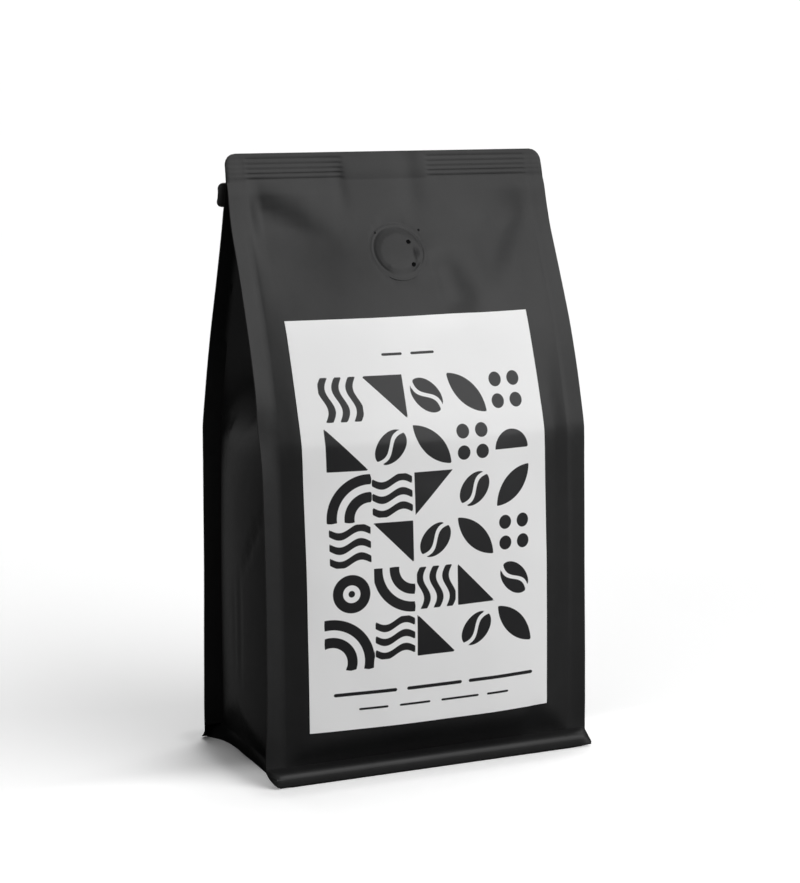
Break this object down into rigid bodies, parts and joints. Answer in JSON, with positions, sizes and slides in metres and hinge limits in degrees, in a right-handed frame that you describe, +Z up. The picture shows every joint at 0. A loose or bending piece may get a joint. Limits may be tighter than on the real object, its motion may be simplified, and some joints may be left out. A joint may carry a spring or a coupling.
{
  "type": "coffee bag",
  "caption": "Filled flat-bottom pouch of matte film with side gussets, sealed corners, a pasted label, a round one-way valve and a bendable closing strip at the back.",
  "frame": {"origin": "on the floor under the middle of the foot", "axes": "+Z up, -Y out of the labelled front panel, +X towards the right gusset seen from the front"},
  "size_m": [0.1261, 0.0748, 0.2142],
  "materials": {
    "film": "matte black laminated film",
    "label_paper": "coated paper, satin, printed black on light grey",
    "valve_plastic": "film drawn over a plastic valve, matte",
    "tie_plastic": "plastic-covered wire strip, satin black"
  },
  "bodies": {
    "root": {"pouch": "film", "label": "label_paper", "degassing_valve": "valve_plastic", "tin_tie": "tie_plastic"}
  },
  "joints": []
}
